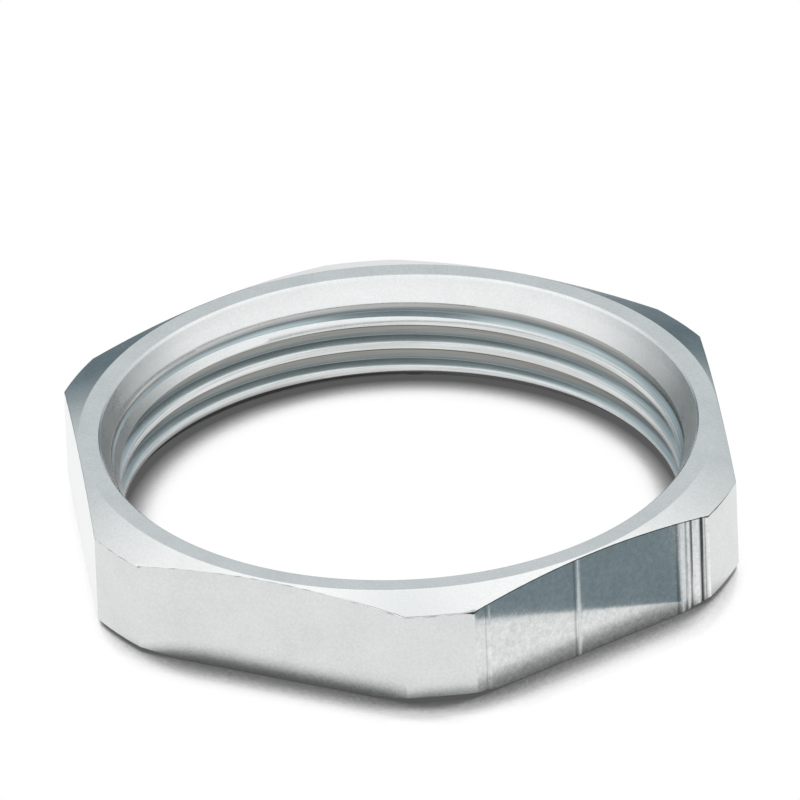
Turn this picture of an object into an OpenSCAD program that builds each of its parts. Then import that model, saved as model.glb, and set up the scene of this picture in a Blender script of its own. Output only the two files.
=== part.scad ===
// Locknut for a cable gland, millimetres. One turned and threaded piece, cut from hexagon bar.
// The bottom face lies on z = 0, the thread's axis is Z and two corners of the hexagon lie on X.

/* [Thread] */
// Nominal diameter of the metric thread
thread_diameter = 32; // [20:1:63]
// Rise of the thread in one turn
thread_pitch = 1.5; // [1:0.05:2]

/* [Hexagon] */
// Distance between the two faces
height = 6.1; // [5:0.1:9]
// Wall between the thread's nominal diameter and each flat
flat_wall = 1.5; // [1:0.1:4]
// How far the turned corners stand out past the flats
corner_rise = 1.7; // [1:0.1:2]

/* [Outer chamfers] */
// How far inside the flats the flat ring of the top face ends
top_land_inset = 0.1; // [0:0.05:0.3]
// Slope of the top chamfer, measured from the face
top_chamfer_angle = 21; // [15:1:30]
// Width of the bottom face's chamfer at the corners, seen from below
bottom_chamfer_width = 0.8; // [0.4:0.1:1]
// Slope of the bottom chamfer, measured from the face
bottom_chamfer_angle = 21; // [15:1:30]

/* [Countersinks] */
// How far the bore's mouth in the top face opens past the thread's nominal radius
top_mouth_clearance = 0.35; // [0.1:0.05:0.5]
// Slope of the top countersink, measured from the thread's axis
top_sink_angle = 26; // [24:1:40]
// Width of the small bevel that breaks the edge of the top mouth
edge_break = 0.08; // [0.04:0.01:0.12]
// Width of the bottom countersink, seen from below
bottom_sink_width = 0.66; // [0.4:0.02:0.9]
// Slope of the bottom countersink, measured from the thread's axis
bottom_sink_angle = 45; // [40:1:60]

/* [Hidden] */
$fn = 144;

// How far a cutter reaches past the face that it opens
overcut = 1;
// Height of a metric thread's ridge as a share of its pitch
ridge_share = 0.5413;

// The bore's wall lies on the crests of the thread
thread_r = thread_diameter / 2;
crest_r = thread_r - thread_pitch * ridge_share;

// The top countersink starts below the bevel of its mouth
top_mouth_r = thread_r + top_mouth_clearance;
top_cone_r = top_mouth_r - edge_break;
top_sink_depth = (top_cone_r - crest_r) / tan(top_sink_angle);
bottom_mouth_r = crest_r + bottom_sink_width;
bottom_sink_depth = bottom_sink_width / tan(bottom_sink_angle);

// Distance from the axis to the flats, and the radii that are turned round it
flat_distance = thread_r + flat_wall;
corner_r = flat_distance + corner_rise;
top_land_r = flat_distance - top_land_inset;
bottom_land_r = corner_r - bottom_chamfer_width;

// How far each outer chamfer drops from its face, down to the turned corners
top_drop = (corner_r - top_land_r) * tan(top_chamfer_angle);
bottom_drop = bottom_chamfer_width * tan(bottom_chamfer_angle);

// Half section of the turned blank: both lands, both chamfers and the turned corners
function blank_section() = [
    [0, 0],
    [bottom_land_r, 0],
    [corner_r, bottom_drop],
    [corner_r, height - top_drop],
    [top_land_r, height],
    [0, height]
];

// Half section of the bore: the wall at the thread's crests between its two countersinks
function bore_section() = [
    [0, -overcut],
    [bottom_mouth_r + overcut * tan(bottom_sink_angle), -overcut],
    [crest_r, bottom_sink_depth],
    [crest_r, height - edge_break - top_sink_depth],
    [top_cone_r, height - edge_break],
    [top_mouth_r, height],
    [top_mouth_r, height + overcut],
    [0, height + overcut]
];

// Hexagon bar, with a corner on +X and a flat on +Y
module hexagon_bar() {
    translate([0, 0, -overcut])
        cylinder(h = height + 2 * overcut, r = flat_distance / cos(30), $fn = 6);
}

module turned_blank() {
    rotate_extrude()
        polygon(blank_section());
}

module bore() {
    rotate_extrude()
        polygon(bore_section());
}

// The cones run out over the flats, so each flat ends in a curved edge above and below
module locknut() {
    color([0.80, 0.81, 0.80])
        difference() {
            intersection() {
                hexagon_bar();
                turned_blank();
            }
            bore();
        }
}

locknut();
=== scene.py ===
import math

import bpy
import numpy as np
from mathutils import Matrix, Vector


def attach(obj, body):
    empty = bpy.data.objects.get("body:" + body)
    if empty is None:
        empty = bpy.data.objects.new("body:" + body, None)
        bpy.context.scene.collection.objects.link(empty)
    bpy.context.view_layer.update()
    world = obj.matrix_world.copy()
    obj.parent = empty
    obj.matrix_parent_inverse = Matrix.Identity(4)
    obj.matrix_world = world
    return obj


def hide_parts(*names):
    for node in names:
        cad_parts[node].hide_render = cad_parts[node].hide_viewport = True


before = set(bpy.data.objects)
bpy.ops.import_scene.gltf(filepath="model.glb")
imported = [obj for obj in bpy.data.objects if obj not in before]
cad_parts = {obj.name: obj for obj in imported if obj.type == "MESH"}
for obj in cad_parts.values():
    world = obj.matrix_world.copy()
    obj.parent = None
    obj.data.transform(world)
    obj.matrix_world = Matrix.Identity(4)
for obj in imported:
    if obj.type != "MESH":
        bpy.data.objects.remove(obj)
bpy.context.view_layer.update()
MM = 0.001

# ---------------------------------------------------------------- sizes, in millimetres, as in the CAD source
HEIGHT = 6.1
FLAT = 17.5
CORNER = 19.2
TOP_LAND = 17.4
BOTTOM_LAND = 18.4
CHAMFER = math.tan(math.radians(21))
MOUTH = 16.35
MOUTH_BREAK = 0.08
MOUTH_BEVEL = (0.12, 0.10)
SINK = math.tan(math.radians(26))
BOTTOM_MOUTH = 15.848
CREST = 15.188
ROOT = 15.64
PITCH = 1.5
# the lower edge of a crest at one angle fixes where the thread starts
CREST_ANGLE = 114.57
CREST_Z = 2.06
# the crest's share of the pitch, and how far the grooves lie off the axis towards one side
CREST_SHARE = 0.28
OFF_AXIS = 0.06
# above this height the bore is the plain top countersink
SINK_PLAIN_Z = 5.5

# ---------------------------------------------------------------- camera, from the photograph
VIEW_AZIMUTH = -65.42
VIEW_ELEVATION = 30.45
VIEW_ROLL = -2.25
VIEW_DISTANCE = 1500.0
FOCAL_PX = 27528.5
AIM_RIGHT = -0.123
AIM_UP = 6.654


def add_camera():
    az, el, roll = (math.radians(a) for a in (VIEW_AZIMUTH, VIEW_ELEVATION, VIEW_ROLL))
    back = Vector((math.cos(el) * math.cos(az), math.cos(el) * math.sin(az), math.sin(el)))
    right0 = Vector((-math.sin(az), math.cos(az), 0))
    up0 = right0.cross(-back)
    right = right0 * math.cos(roll) + up0 * math.sin(roll)
    up = up0 * math.cos(roll) - right0 * math.sin(roll)
    place = (right * AIM_RIGHT + up * AIM_UP + back * VIEW_DISTANCE) * MM
    data = bpy.data.cameras.new("camera")
    data.sensor_width = 36
    data.lens = 36 * FOCAL_PX / 800
    data.clip_start = 0.1
    data.clip_end = 10
    cam = bpy.data.objects.new("camera", data)
    cam.matrix_world = Matrix((
        (right.x, up.x, back.x, place.x),
        (right.y, up.y, back.y, place.y),
        (right.z, up.z, back.z, place.z),
        (0, 0, 0, 1)))
    bpy.context.scene.collection.objects.link(cam)
    bpy.context.scene.camera = cam


# ---------------------------------------------------------------- mesh of the nut
# drawing lines in the flats: normal of the flat, distance from its middle, depth and width in mm
ARC_EDGE = math.degrees(math.acos(FLAT / CORNER))
DRAW_LINES = {
    -30: [(-7.20, 0.006, 0.05), (-0.98, 0.006, 0.10), (1.44, 0.002, 0.06),
          (6.30, 0.008, 0.09), (6.63, 0.012, 0.07), (7.35, 0.020, 0.09)],
    30: [(-5.1, 0.004, 0.06), (2.3, 0.003, 0.05)],
    90: [(-2.6, 0.004, 0.05), (4.4, 0.003, 0.06), (6.9, 0.006, 0.06)],
    150: [(-6.2, 0.005, 0.06), (0.8, 0.003, 0.05)],
    210: [(-3.7, 0.004, 0.05), (5.3, 0.004, 0.06)],
    270: [(5.6, 0.002, 0.05)],
}


# marks on one flat: place along it, width and strength; scratched lines are matt and bright, filled ones are dark
MARKED_FLAT = -30
SCRATCHES = [(-6.95, 0.05, 0.35), (-0.96, 0.14, 0.85), (6.03, 0.11, 1.0), (6.43, 0.08, 1.0), (6.92, 0.10, 0.6),
             (7.10, 0.07, 1.0), (7.83, 0.08, 0.8)]
FILLED = [(-7.20, 0.05, 0.25), (-1.22, 0.08, 0.38), (5.70, 0.11, 0.50), (6.27, 0.06, 0.45), (6.63, 0.07, 0.70),
          (7.35, 0.12, 0.97), (7.60, 0.05, 0.45)]
# nicks in the top edge: angle, width in degrees and extra rounding in mm
NICKS = [(-54.6, 0.5, 0.16), (-114.2, 0.6, 0.12), (-97.0, 0.5, 0.06), (-70.5, 0.5, 0.07), (-66.8, 0.4, 0.06),
         (-32.0, 0.5, 0.05), (-6.0, 0.4, 0.08), (-143.0, 0.6, 0.06), (-172.0, 0.6, 0.07), (31.0, 0.5, 0.06), (88.0, 0.6, 0.06)]


def wave(x, seed):
    """A smooth even noise of one variable, between about -1 and 1."""
    x = np.asarray(x, float)
    out = np.zeros_like(x)
    for i, f in enumerate((1.0, 1.73, 2.91, 4.37)):
        out += np.sin(x * f + seed * (1.3 + i) + 2.1 * i) / (1 + 0.5 * i)
    return out / 2.2


def column_angles():
    found = []
    edge = math.degrees(math.acos(FLAT / BOTTOM_LAND))
    for k in range(6):
        normal = -90 + 60 * k
        a = list(np.arange(-30, 30, 1.0))
        for s in (-1, 1):
            a += [s * edge, s * ARC_EDGE, s * (ARC_EDGE - 0.12), s * (ARC_EDGE + 0.12), s * (ARC_EDGE - 0.3), s * (ARC_EDGE + 0.3)]
        key = normal if normal in DRAW_LINES else normal + 360
        marks = SCRATCHES + FILLED if key == MARKED_FLAT else []
        for at, wide in [(m[0], m[2]) for m in DRAW_LINES[key]] + [(m[0], m[1]) for m in marks]:
            for q in np.linspace(-2.4, 2.4, 9):
                x = at + q * wide
                if abs(x) < FLAT * math.tan(math.radians(ARC_EDGE)):
                    a.append(math.degrees(math.atan(x / FLAT)))
        found += [normal + v for v in a]
    found = np.sort(np.mod(np.array(found), 360))
    keep = [found[0]]
    for v in found[1:]:
        if v - keep[-1] > 0.035:
            keep.append(v)
    return np.array(keep)


def outer_radius(angle):
    """Radius of the hexagon's wall or of the turned corners, with the drawing lines, and whether it is a flat."""
    normal = np.round((angle - 30) / 60) * 60 + 30
    a = np.radians(angle - normal)
    along = FLAT * np.tan(a)
    dip = np.zeros_like(angle)
    for key, lines in DRAW_LINES.items():
        on = np.isclose(np.mod(normal - key, 360), 0) | np.isclose(np.mod(normal - key, 360), 360)
        for at, deep, wide in lines:
            dip += on * deep * np.exp(-((along - at) / wide) ** 2)
    flat = (FLAT - dip) / np.cos(a)
    return np.minimum(flat, CORNER), flat < CORNER + 1e-6


def fillet(before, corner, after, radius, steps, hold):
    """Rows of points that round a corner, with one more row on each side to hold the flat surfaces flat."""
    u1, u2 = corner - before, after - corner
    l1, l2 = np.linalg.norm(u1, axis=1), np.linalg.norm(u2, axis=1)
    u1, u2 = u1 / l1[:, None], u2 / l2[:, None]
    turn = np.arccos(np.clip((u1 * u2).sum(1), -1, 1))
    reach = np.minimum(np.minimum(radius * np.tan(turn / 2), 0.3 * l1), 0.3 * l2)
    start, end = corner - u1 * reach[:, None], corner + u2 * reach[:, None]
    rows = [start - u1 * np.minimum(hold, 0.15 * l1)[:, None]]
    for t in np.linspace(0, 1, steps + 1):
        rows.append((1 - t) ** 2 * start + 2 * t * (1 - t) * corner + t * t * end)
    rows.append(end + u2 * np.minimum(hold, 0.15 * l2)[:, None])
    return rows


def thread_rows():
    """Offsets and radii of one turn of the thread, from the lower edge of a crest upwards."""
    flank = (ROOT - CREST) * math.tan(math.radians(30))
    crest = PITCH * CREST_SHARE
    flat = PITCH - crest - 2 * flank
    corners = [(0.0, CREST, 0.05), (crest, CREST, 0.05),
               (crest + flank, ROOT, 0.06), (crest + flank + flat, ROOT, 0.06)]
    pts = []
    n = len(corners)
    for i, (z, r, reach) in enumerate(corners):
        pz, pr, _ = corners[i - 1]
        nz, nr, _ = corners[(i + 1) % n]
        if i == 0:
            pz -= PITCH
        if i == n - 1:
            nz += PITCH
        c = np.array([z, r])
        u1 = np.array([z - pz, r - pr]); u2 = np.array([nz - z, nr - r])
        u1 /= np.linalg.norm(u1); u2 /= np.linalg.norm(u2)
        for t in (0, 0.33, 0.67, 1):
            p = (1 - t) ** 2 * (c - u1 * reach) + 2 * t * (1 - t) * c + t * t * (c + u2 * reach)
            pts.append(p)
        for share in ((0.5,) if i in (0, 2) else (0.25, 0.5, 0.75)):
            pts.append(c + (np.array([nz, nr]) - c) * share)
    pts = np.array(sorted((tuple(p) for p in pts), key=lambda p: p[0]))
    return pts[:, 0], pts[:, 1]


THREAD_Z, THREAD_R = thread_rows()


def thread_radius(angle, z):
    u = np.mod(z - CREST_Z - PITCH * (angle - CREST_ANGLE) / 360 - THREAD_Z[0], PITCH) + THREAD_Z[0]
    r = np.interp(u, np.append(THREAD_Z, THREAD_Z[0] + PITCH), np.append(THREAD_R, THREAD_R[0]))
    return r + (r - CREST) / (ROOT - CREST) * OFF_AXIS * np.cos(np.radians(angle - CREST_ANGLE - 90))


def sink_radius(z):
    return np.maximum(MOUTH - MOUTH_BREAK - (HEIGHT - MOUTH_BREAK - z) * SINK, BOTTOM_MOUTH - z)


def bore_radius(angle, z):
    return np.maximum(thread_radius(angle, z), sink_radius(z))


def build_nut():
    angles = column_angles()
    count = len(angles)
    verts, tris, mats = [], [], []

    def put(r, z):
        """One ring of vertices with these radii and heights; their numbers come back."""
        first = len(verts)
        a = np.radians(angles)
        verts.extend(zip(r * np.cos(a), r * np.sin(a), np.broadcast_to(z, r.shape)))
        return np.arange(first, first + count)

    wall, is_flat = outer_radius(angles)
    bottom_ring = put(bore_radius(angles, np.zeros(count)), 0.0)
    sink_ring = put(sink_radius(np.full(count, SINK_PLAIN_Z)), SINK_PLAIN_Z)

    # outside, from the bottom face to the countersink
    ragged = 0.016 * wave(angles * 0.9, 1.0) + 0.014 * wave(angles * 2.7, 4.0)
    pair = lambda r, z: np.stack([np.broadcast_to(r, (count,)).astype(float), np.broadcast_to(z, (count,)).astype(float)], 1)
    p0 = pair(bore_radius(angles, np.zeros(count)), 0)
    r1 = np.minimum(BOTTOM_LAND, wall - 0.05)
    p1 = pair(r1, 0)
    p2 = pair(wall, np.maximum((wall - BOTTOM_LAND) * CHAMFER, 0.04))
    p3 = pair(wall, HEIGHT - (wall - TOP_LAND) * CHAMFER)
    rounding = 0.045 + np.maximum(ragged, 0)
    for at, wide, extra in NICKS:
        off = np.mod(angles - at + 180, 360) - 180
        rounding += extra * np.exp(-(off / wide) ** 2)
    p4 = pair(TOP_LAND, HEIGHT)
    p5 = pair(MOUTH, HEIGHT)
    p6 = pair(MOUTH - MOUTH_BEVEL[0], HEIGHT - MOUTH_BEVEL[1])
    p7 = pair(sink_radius(SINK_PLAIN_Z), SINK_PLAIN_Z)
    parts = [("face", fillet(p0, p1, p2, 0.03, 2, 0.05)), ("chamfer", fillet(p1, p2, p3, 0.05, 3, 0.05)),
             ("wall", fillet(p2, p3, p4, rounding, 4, 0.05)), ("cone", fillet(p3, p4, p5, 0.10, 3, 0.05)),
             ("land", fillet(p4, p5, p6, 0.03, 3, 0.10)), ("break", fillet(p5, p6, p7, 0.05, 3, 0.05))]
    rings = [bottom_ring]
    kinds = []
    edge_darkening = {}
    turned_from_c = np.mod(angles + 57 + 180, 360) - 180
    beside_c = np.clip((turned_from_c - 0) / 2, 0, 1) * np.clip((60 - turned_from_c) / 4, 0, 1)
    chipped = 0.5 * np.clip(wave(angles * 8.3, 2.0) * 1.4, 0, 1) * (1 - beside_c)
    at_nick = 0.9 * np.exp(-((turned_from_c - 2.4) / 1.1) ** 2)
    for kind, rows in parts:
        for i, row in enumerate(rows):
            rings.append(put(row[:, 0], row[:, 1]))
            kinds.append(kind if i == 0 else "edge_" + kind)
            # the walls' top edges are darker: a steady dark line along the flat at -30 degrees and the corners beside
            # it, dark dots elsewhere, and a dark spot at one nick
            if kind == "wall" and 1 <= i <= 3:
                edge_darkening.update(zip(rings[-1], np.maximum(np.maximum(0.85 * beside_c, chipped), at_nick)))
    rings.append(sink_ring)
    kinds.append("sink")
    for i, kind in enumerate(kinds):
        low, high = rings[i], rings[i + 1]
        for j in range(count):
            k = (j + 1) % count
            flat = is_flat[j] and is_flat[k] and kind in ("wall", "edge_chamfer", "edge_wall")
            tris.append((low[j], low[k], high[k], high[j]))
            mats.append(0 if flat else 1)

    # the bore: rows that follow the helix, clamped between the bottom face and the plain countersink
    per = len(THREAD_Z)
    turns_low, turns_high = -4, 4
    offsets = np.concatenate([THREAD_Z + PITCH * t for t in range(turns_low, turns_high)])
    base = CREST_Z - PITCH * CREST_ANGLE / 360
    wide = np.append(angles, angles[0] + 360)
    z = base + PITCH * wide[None, :] / 360 + offsets[:, None]
    low_row = z <= 0.012
    high_row = z >= SINK_PLAIN_Z - 0.012
    # a row next to the line where thread and countersink meet is moved onto it
    gap = thread_radius(wide[None, :], z) - sink_radius(z)
    cross = (gap[:-1] * gap[1:] < 0) & ~low_row[:-1] & ~high_row[1:]
    share = np.where(cross, gap[:-1] / np.where(cross, gap[:-1] - gap[1:], 1), 0)
    moved = z.copy()
    at = z[:-1] + share * (z[1:] - z[:-1])
    lower = cross & (share < 0.5)
    upper = cross & (share >= 0.5)
    moved[:-1][lower] = at[lower]
    moved[1:][upper] = at[upper]
    z = moved
    number = np.full(z.shape, -1)
    number[low_row] = -2
    number[high_row] = -3
    for j in range(count):
        rows = np.where(number[:, j] == -1)[0]
        a = math.radians(angles[j])
        r = bore_radius(angles[j], z[rows, j])
        for k, rr in zip(rows, r):
            number[k, j] = len(verts)
            verts.append((rr * math.cos(a), rr * math.sin(a), z[k, j]))
        number[number[:, j] == -2, j] = bottom_ring[j]
        number[number[:, j] == -3, j] = sink_ring[j]
    number[:-per, count] = number[per:, 0]
    number[-per:, count] = sink_ring[0]
    xyz = np.array(verts)
    on_sink = np.abs(np.hypot(xyz[:, 0], xyz[:, 1]) - sink_radius(xyz[:, 2])) < 0.004

    def bore_kind(corners):
        """Countersinks are turned; the rest of the bore is thread."""
        return 1 if all(on_sink[v] for v in corners) else 2

    for k in range(z.shape[0] - 1):
        for j in range(count):
            a, b, c, d = number[k, j], number[k, j + 1], number[k + 1, j + 1], number[k + 1, j]
            if len({a, b, c, d}) < 3:
                continue
            if len({a, b, c, d}) == 3:
                seen = []
                for v in (a, b, c, d):
                    if v not in seen:
                        seen.append(v)
                tris.append(tuple(reversed(seen)))
                mats.append(bore_kind(seen))
                continue
            best = []
            mid_angle = (wide[j] + wide[j + 1]) / 2
            for p, q in ((a, c), (b, d)):
                m = (xyz[p] + xyz[q]) / 2
                best.append(abs(math.hypot(m[0], m[1]) - bore_radius(mid_angle, m[2])))
            if best[0] <= best[1]:
                new = [(c, b, a), (d, c, a)]
            else:
                new = [(d, b, a), (d, c, b)]
            tris += new
            mats += [bore_kind(t) for t in new]

    mesh = bpy.data.meshes.new("locknut_plated")
    mesh.from_pydata([tuple(v) for v in xyz * MM], [], tris)
    mesh.validate()
    mesh.polygons.foreach_set("material_index", mats)
    mesh.shade_smooth()
    # marks of the drawing die, kept with the mesh for the material
    flat_angle = np.degrees(np.arctan2(xyz[:, 1], xyz[:, 0]))
    off = np.mod(flat_angle - MARKED_FLAT + 180, 360) - 180
    outside = (np.abs(off) < 30) & (np.hypot(xyz[:, 0], xyz[:, 1]) > TOP_LAND + 0.02)
    outside &= xyz[:, 2] < HEIGHT - (np.hypot(xyz[:, 0], xyz[:, 1]) - TOP_LAND) * CHAMFER - 0.01
    along = FLAT * np.tan(np.radians(np.clip(off, -40, 40)))
    for name, marks in (("scratch", SCRATCHES), ("filled", FILLED)):
        value = sum(m * np.exp(-((along - at) / wide) ** 2) for at, wide, m in marks) * outside
        layer = mesh.attributes.new(name, "FLOAT", "POINT")
        layer.data.foreach_set("value", np.clip(value, 0, 1).astype(np.float32))
    value = np.zeros(len(xyz), np.float32)
    value[list(edge_darkening)] = list(edge_darkening.values())
    mesh.attributes.new("edge_darkening", "FLOAT", "POINT").data.foreach_set("value", value)
    mesh.set_sharp_from_angle(angle=math.radians(28))
    obj = bpy.data.objects.new("locknut_plated", mesh)
    bpy.context.scene.collection.objects.link(obj)
    return obj


# ---------------------------------------------------------------- materials
class Nodes:
    """Short helper for node trees."""

    def __init__(self, tree):
        self.tree = tree
        tree.nodes.clear()

    def add(self, kind, inputs=None, **settings):
        node = self.tree.nodes.new(kind)
        for name, value in settings.items():
            setattr(node, name, value)
        for name, value in (inputs or {}).items():
            if hasattr(value, "is_output"):
                self.tree.links.new(value, node.inputs[name])
            else:
                node.inputs[name].default_value = value
        return node

    def math(self, operation, a, b=0.0, clamp=False):
        return self.add("ShaderNodeMath", {0: a, 1: b}, operation=operation, use_clamp=clamp).outputs[0]

    def ramp(self, factor, stops, interpolation="LINEAR"):
        node = self.add("ShaderNodeValToRGB", {"Fac": factor})
        ramp = node.color_ramp
        ramp.interpolation = interpolation
        while len(ramp.elements) < len(stops):
            ramp.elements.new(0.5)
        for element, (place, colour) in zip(ramp.elements, stops):
            element.position = place
            element.color = (*colour, 1) if len(colour) == 3 else colour
        return node.outputs["Color"]

    def noise(self, vector, scale, detail=2.0, rough=0.5):
        return self.add("ShaderNodeTexNoise", {"Vector": vector, "Scale": scale, "Detail": detail, "Roughness": rough}).outputs["Fac"]

    def spread(self, value, low, high):
        return self.add("ShaderNodeMapRange", {"Value": value, "From Min": 0.25, "From Max": 0.75, "To Min": low, "To Max": high}).outputs["Result"]


NICKEL = (0.70, 0.715, 0.715)


def metal(name, kind):
    mat = bpy.data.materials.new(name)
    mat.use_nodes = True
    n = Nodes(mat.node_tree)
    place = n.add("ShaderNodeTexCoord").outputs["Object"]
    xyz = n.add("ShaderNodeSeparateXYZ", {"Vector": place}).outputs
    radius = n.math("SQRT", n.math("ADD", n.math("MULTIPLY", xyz["X"], xyz["X"]), n.math("MULTIPLY", xyz["Y"], xyz["Y"])))
    # round the axis: angle as a length, so that it can be stretched
    turn = n.math("MULTIPLY", n.math("ARCTAN2", xyz["Y"], xyz["X"]), 0.0165)
    if kind == "drawn":      # hexagon bar: lines along the axis
        fine = n.add("ShaderNodeCombineXYZ", {"X": xyz["X"], "Y": xyz["Y"], "Z": n.math("MULTIPLY", xyz["Z"], 0.05)}).outputs["Vector"]
    else:                    # turned: lines round the axis
        fine = n.add("ShaderNodeCombineXYZ", {"X": radius, "Y": xyz["Z"], "Z": n.math("MULTIPLY", turn, 0.02)}).outputs["Vector"]
    lines = n.noise(fine, 9000, 2.0, 0.6)
    grain = n.noise(place, 7000, 3.0, 0.65)
    cloud = n.noise(place, 420, 3.0, 0.55)
    colour = n.ramp(n.math("ADD", n.math("MULTIPLY", cloud, 0.7), n.math("MULTIPLY", grain, 0.3)), [
        (0.25, tuple(c * 0.93 for c in NICKEL)), (0.5, NICKEL), (0.75, tuple(min(1, c * 1.05) for c in NICKEL))])
    shine = {"drawn": (0.07, 0.15), "turned": (0.11, 0.20), "thread": (0.16, 0.28)}[kind]
    rough = n.spread(n.math("ADD", n.math("MULTIPLY", grain, 0.5), n.math("MULTIPLY", cloud, 0.5)), *shine)
    if kind == "turned":     # the countersinks are rougher than the faces
        rough = n.math("ADD", rough, n.add("ShaderNodeMapRange", {"Value": radius, "From Min": 0.01622, "From Max": 0.01632, "To Min": 0.14, "To Max": 0.0}).outputs["Result"])
    if kind == "thread":     # the grooves are darker, partly a darker film and partly painted shade, with a painted line of shade under each ridge
        turns = n.math("DIVIDE", n.math("ARCTAN2", xyz["Y"], xyz["X"]), 2 * math.pi)
        rise = n.math("SUBTRACT", n.math("MULTIPLY", xyz["Z"], 1000 / PITCH), turns)
        rise = n.math("ADD", rise, CREST_ANGLE / 360 - CREST_Z / PITCH + 10)
        phase = n.math("FRACT", rise)
        film_and_groove_shade = n.ramp(phase, [(0.0, (0.95, 0.95, 0.95)), (0.03, (1, 1, 1)), (0.26, (1, 1, 1)), (0.30, (0.78, 0.84, 0.86)), (0.34, (0.54, 0.63, 0.66)),
                              (0.41, (0.44, 0.52, 0.55)), (0.45, (0.27, 0.31, 0.32)), (0.54, (0.33, 0.365, 0.375)), (0.66, (0.43, 0.425, 0.405)), (0.80, (0.45, 0.42, 0.38)), (0.88, (0.5, 0.5, 0.48)), (0.98, (0.8, 0.8, 0.8))])
        # the film and painted groove shade are weaker towards the top of the bore
        fade = n.add("ShaderNodeMapRange", {"Value": xyz["Z"], "From Min": 0.00438, "From Max": 0.00476, "To Min": 1.0, "To Max": 0.2}).outputs["Result"]
        mixed = n.add("ShaderNodeMix", data_type="RGBA")
        n.tree.links.new(fade, mixed.inputs["Factor"])
        mixed.inputs[6].default_value = (1, 1, 1, 1)
        n.tree.links.new(film_and_groove_shade, mixed.inputs[7])
        streak = n.spread(lines, 0.80, 1.13)
        colour = n.add("ShaderNodeVectorMath", {0: colour, 1: mixed.outputs[2]}, operation="MULTIPLY").outputs["Vector"]
        colour = n.add("ShaderNodeVectorMath", {0: colour, "Scale": streak}, operation="SCALE").outputs["Vector"]
    if kind != "thread":     # dark lines in some edges
        clean = n.math("MULTIPLY", n.spread(grain, 0.95, 1.05), n.math("SUBTRACT", 1.0, n.add("ShaderNodeAttribute", attribute_name="edge_darkening").outputs["Fac"]))
        colour = n.add("ShaderNodeVectorMath", {0: colour, "Scale": clean}, operation="SCALE").outputs["Vector"]
    if kind == "drawn":      # marks of the drawing die, and one flat with a mottled skin
        normal = (math.cos(math.radians(MARKED_FLAT)), math.sin(math.radians(MARKED_FLAT)), 0)
        there = n.math("GREATER_THAN", n.add("ShaderNodeVectorMath", {0: place, 1: normal}, operation="DOT_PRODUCT").outputs["Value"], 0.0173)
        mottle = n.math("MULTIPLY", there, n.spread(n.noise(place, 3000, 3.0, 0.7), -0.15, 0.15))
        colour = n.add("ShaderNodeVectorMath", {0: colour, "Scale": n.math("ADD", 1.0, mottle)}, operation="SCALE").outputs["Vector"]
        scratch = n.add("ShaderNodeAttribute", attribute_name="scratch").outputs["Fac"]
        filled = n.add("ShaderNodeAttribute", attribute_name="filled").outputs["Fac"]
        gain = n.math("MULTIPLY", n.math("ADD", n.math("MULTIPLY", scratch, 0.42), 1.0), n.math("SUBTRACT", 1.0, filled))
        colour = n.add("ShaderNodeVectorMath", {0: colour, "Scale": gain}, operation="SCALE").outputs["Vector"]
        rough = n.math("ADD", rough, n.math("MULTIPLY", scratch, 0.45), clamp=True)
    height = n.math("ADD", n.math("MULTIPLY", lines, {"drawn": 0.6, "turned": 0.5, "thread": 0.8}[kind]), n.math("MULTIPLY", grain, {"drawn": 0.8, "turned": 0.25, "thread": 0.5}[kind]))
    bump = n.add("ShaderNodeBump", {"Height": height, "Strength": 1.0, "Distance": {"drawn": 1.0e-6, "turned": 0.5e-6, "thread": 2.5e-6}[kind]}).outputs["Normal"]
    shader = n.add("ShaderNodeBsdfPrincipled", {"Base Color": colour, "Metallic": 1.0, "Roughness": rough, "Normal": bump})
    n.add("ShaderNodeOutputMaterial", {"Surface": shader.outputs[0]})
    return mat


# ---------------------------------------------------------------- stage
BACK_AZIMUTH = math.radians(VIEW_AZIMUTH + 180)


def hide_from(obj, camera=False, shadow=False, diffuse=False):
    obj.visible_camera = not camera
    obj.visible_shadow = not shadow
    obj.visible_diffuse = not diffuse


# radius of the white table; the tent's lower part shows past its edge in the metal
TABLE = 0.07


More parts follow.
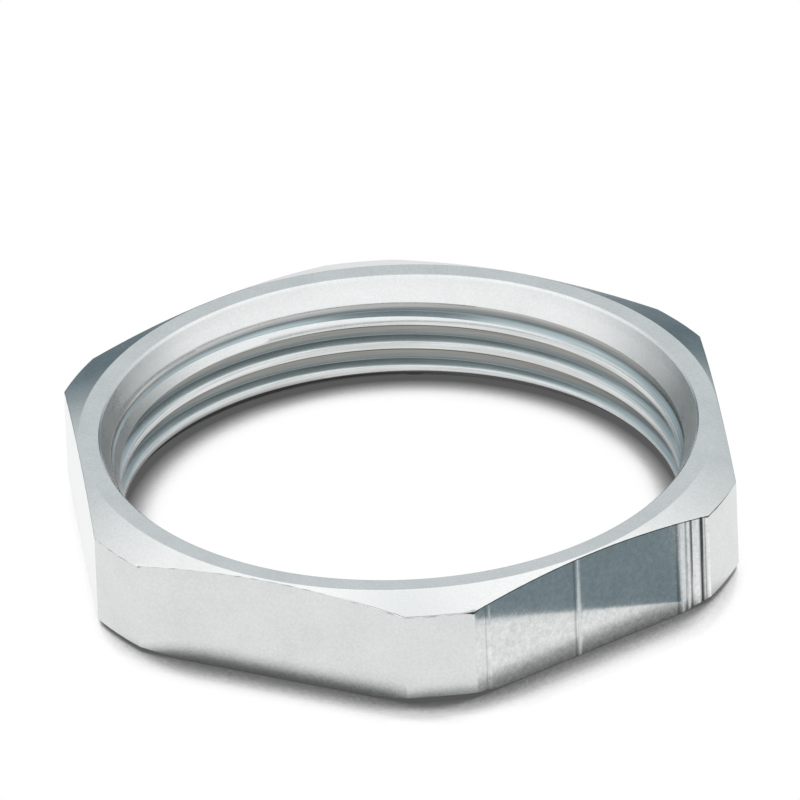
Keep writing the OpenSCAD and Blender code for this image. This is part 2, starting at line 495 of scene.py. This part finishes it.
def add_floor():
    n_side = 48
    ring = [(TABLE * math.cos(t), TABLE * math.sin(t), -0.00001) for t in np.linspace(0, 2 * math.pi, n_side, endpoint=False)]
    mesh = bpy.data.meshes.new("floor")
    mesh.from_pydata(ring, [], [tuple(range(n_side))])
    floor = bpy.data.objects.new("floor", mesh)
    bpy.context.scene.collection.objects.link(floor)
    mat = bpy.data.materials.new("floor")
    mat.use_nodes = True
    n = Nodes(mat.node_tree)
    path = n.add("ShaderNodeLightPath").outputs
    # the shadow: how much of the light from behind the nut it keeps off the floor close by
    tilt, side = math.radians(60), math.radians(120)
    source = n.add("ShaderNodeCombineXYZ", {"X": math.sin(tilt) * math.cos(side), "Y": math.sin(tilt) * math.sin(side), "Z": math.cos(tilt)}).outputs["Vector"]
    near = n.add("ShaderNodeAmbientOcclusion", {"Distance": 0.0040, "Normal": source}, samples=16).outputs["AO"]
    close = n.add("ShaderNodeAmbientOcclusion", {"Distance": 0.0034}, samples=16).outputs["AO"]
    grey = lambda v: (v, v, v)
    place = n.add("ShaderNodeTexCoord").outputs["Object"]
    outside = n.ramp(near, [(0.30, grey(0.09)), (0.354, grey(0.115)), (0.434, grey(0.15)), (0.464, grey(0.20)), (0.492, grey(0.36)),
                            (0.510, grey(0.62)), (0.529, grey(0.84)), (0.551, grey(0.97)), (0.575, grey(1.0))])
    inside = n.ramp(close, [(0.45, grey(0.10)), (0.50, grey(0.15)), (0.53, grey(0.21)), (0.60, grey(0.31)), (0.645, grey(0.43)),
                            (0.67, grey(0.58)), (0.713, grey(0.70)), (0.745, grey(0.86)), (0.782, grey(0.94)), (0.835, grey(1.0))])
    away = n.add("ShaderNodeVectorMath", {0: place}, operation="LENGTH").outputs["Value"]
    in_hole = n.math("LESS_THAN", away, 0.0162)
    shade = n.add("ShaderNodeMix", data_type="RGBA")
    n.tree.links.new(in_hole, shade.inputs["Factor"])
    n.tree.links.new(outside, shade.inputs[6])
    n.tree.links.new(inside, shade.inputs[7])
    seen = n.add("ShaderNodeEmission", {"Color": shade.outputs[2], "Strength": 1.0}).outputs[0]
    lit = n.add("ShaderNodeBsdfDiffuse", {"Color": (0.8, 0.8, 0.8, 1)}).outputs[0]
    # metal shows the floor that the camera sees
    view = n.math("MAXIMUM", n.math("MAXIMUM", path["Is Camera Ray"], path["Is Glossy Ray"]), path["Is Transmission Ray"])
    whole = n.add("ShaderNodeMixShader", {0: view, 1: lit, 2: seen}).outputs[0]
    clear = n.add("ShaderNodeBsdfTransparent").outputs[0]
    under = n.add("ShaderNodeNewGeometry").outputs["Backfacing"]
    both = n.add("ShaderNodeMixShader", {0: under, 1: whole, 2: clear}).outputs[0]
    n.add("ShaderNodeOutputMaterial", {"Surface": both})
    mesh.materials.append(mat)


def add_dark_card():
    """A dark card on the table at the right, which shows only in the nut's reflections."""
    mesh = bpy.data.meshes.new("dark_card")
    corners = [(19.33, -45.0), (75.0, -45.0), (75.0, 1.8), (19.33, -3.5)]
    mesh.from_pydata([(x * MM, y * MM, 0.00001) for x, y in corners], [], [(0, 1, 2, 3)])
    card = bpy.data.objects.new("dark_card", mesh)
    bpy.context.scene.collection.objects.link(card)
    mat = bpy.data.materials.new("dark_card")
    mat.use_nodes = True
    n = Nodes(mat.node_tree)
    shade = n.add("ShaderNodeEmission", {"Color": (0.225, 0.285, 0.31, 1), "Strength": 1.0}).outputs[0]
    n.add("ShaderNodeOutputMaterial", {"Surface": shade})
    mat.cycles.emission_sampling = "NONE"
    mesh.materials.append(mat)
    hide_from(card, camera=True, shadow=True, diffuse=True)
    card.visible_transmission = False


def add_tent():
    """The light tent: pale cloth all round, white above and in front, with a dark gap low at the back."""
    radius, rings, sides = 0.5, 32, 64
    verts, faces = [], []
    for i in range(rings):
        el = math.radians(-30 + 119.5 * i / (rings - 1))
        for j in range(sides):
            az = 2 * math.pi * j / sides
            verts.append((radius * math.cos(el) * math.cos(az), radius * math.cos(el) * math.sin(az), radius * math.sin(el)))
    for i in range(rings - 1):
        for j in range(sides):
            k = (j + 1) % sides
            faces.append((i * sides + j, i * sides + k, (i + 1) * sides + k, (i + 1) * sides + j))
    faces.append(tuple((rings - 1) * sides + j for j in range(sides)))
    mesh = bpy.data.meshes.new("tent")
    mesh.from_pydata(verts, [], faces)
    tent = bpy.data.objects.new("tent", mesh)
    bpy.context.scene.collection.objects.link(tent)
    mat = bpy.data.materials.new("tent")
    mat.use_nodes = True
    n = Nodes(mat.node_tree)
    place = n.add("ShaderNodeTexCoord").outputs["Object"]
    unit = n.add("ShaderNodeVectorMath", {0: place}, operation="NORMALIZE").outputs["Vector"]
    xyz = n.add("ShaderNodeSeparateXYZ", {"Vector": unit}).outputs
    flat = n.add("ShaderNodeCombineXYZ", {"X": xyz["X"], "Y": xyz["Y"]}).outputs["Vector"]
    flat = n.add("ShaderNodeVectorMath", {0: flat}, operation="NORMALIZE").outputs["Vector"]
    behind = n.add("ShaderNodeVectorMath", {0: flat, 1: (math.cos(BACK_AZIMUTH), math.sin(BACK_AZIMUTH), 0)}, operation="DOT_PRODUCT").outputs["Value"]
    back = n.ramp(xyz["Z"], [(0.0, (0.19, 0.24, 0.27)), (0.05, (0.17, 0.22, 0.25)), (0.10, (0.12, 0.17, 0.195)), (0.15, (0.15, 0.21, 0.24)), (0.25, (0.40, 0.45, 0.47)), (0.36, (0.76, 0.79, 0.81)),
                             (0.52, (0.70, 0.745, 0.76)), (0.66, (0.95, 0.97, 0.97)), (0.78, (1.20, 1.20, 1.20)), (0.90, (1.33, 1.33, 1.33)), (0.972, (1.33, 1.33, 1.33)), (0.978, (0.42, 0.45, 0.47))])
    front = n.ramp(xyz["Z"], [(0.0, (0.72, 0.74, 0.75)), (0.04, (0.88, 0.89, 0.90)), (0.08, (1.04, 1.04, 1.04)), (0.15, (1.2, 1.2, 1.2)), (0.25, (1.26, 1.26, 1.26)), (0.972, (1.27, 1.27, 1.27)), (0.978, (0.42, 0.45, 0.47))])
    share = n.add("ShaderNodeMapRange", {"Value": behind, "From Min": -0.2, "From Max": 0.85, "To Min": 0.0, "To Max": 1.0}, interpolation_type="SMOOTHSTEP").outputs["Result"]
    mix = n.add("ShaderNodeMix", data_type="RGBA")
    n.tree.links.new(share, mix.inputs["Factor"])
    n.tree.links.new(front, mix.inputs[6])
    n.tree.links.new(back, mix.inputs[7])
    shade = n.add("ShaderNodeEmission", {"Color": mix.outputs[2], "Strength": 1.0}).outputs[0]
    n.add("ShaderNodeOutputMaterial", {"Surface": shade})
    mat.cycles.emission_sampling = "NONE"
    mesh.materials.append(mat)
    hide_from(tent, camera=True, shadow=True)


def add_world():
    world = bpy.data.worlds.new("studio")
    bpy.context.scene.world = world
    world.use_nodes = True
    n = Nodes(world.node_tree)
    path = n.add("ShaderNodeLightPath").outputs
    seen = n.math("MAXIMUM", n.math("MAXIMUM", path["Is Camera Ray"], path["Is Glossy Ray"]), path["Is Transmission Ray"])
    plain = n.add("ShaderNodeBackground", {"Color": (0.9, 0.9, 0.9, 1), "Strength": 1.0}).outputs[0]
    white = n.add("ShaderNodeBackground", {"Color": (1, 1, 1, 1), "Strength": 1.0}).outputs[0]
    both = n.add("ShaderNodeMixShader", {0: seen, 1: plain, 2: white}).outputs[0]
    n.add("ShaderNodeOutputWorld", {"Surface": both})


add_camera()
add_world()
add_floor()
add_dark_card()
add_tent()

nut = build_nut()
for name, kind in (("nickel_drawn", "drawn"), ("nickel_turned", "turned"), ("nickel_thread", "thread")):
    nut.data.materials.append(metal(name, kind))
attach(nut, "root")
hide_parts("locknut")

bpy.context.scene.view_settings.view_transform = "Standard"
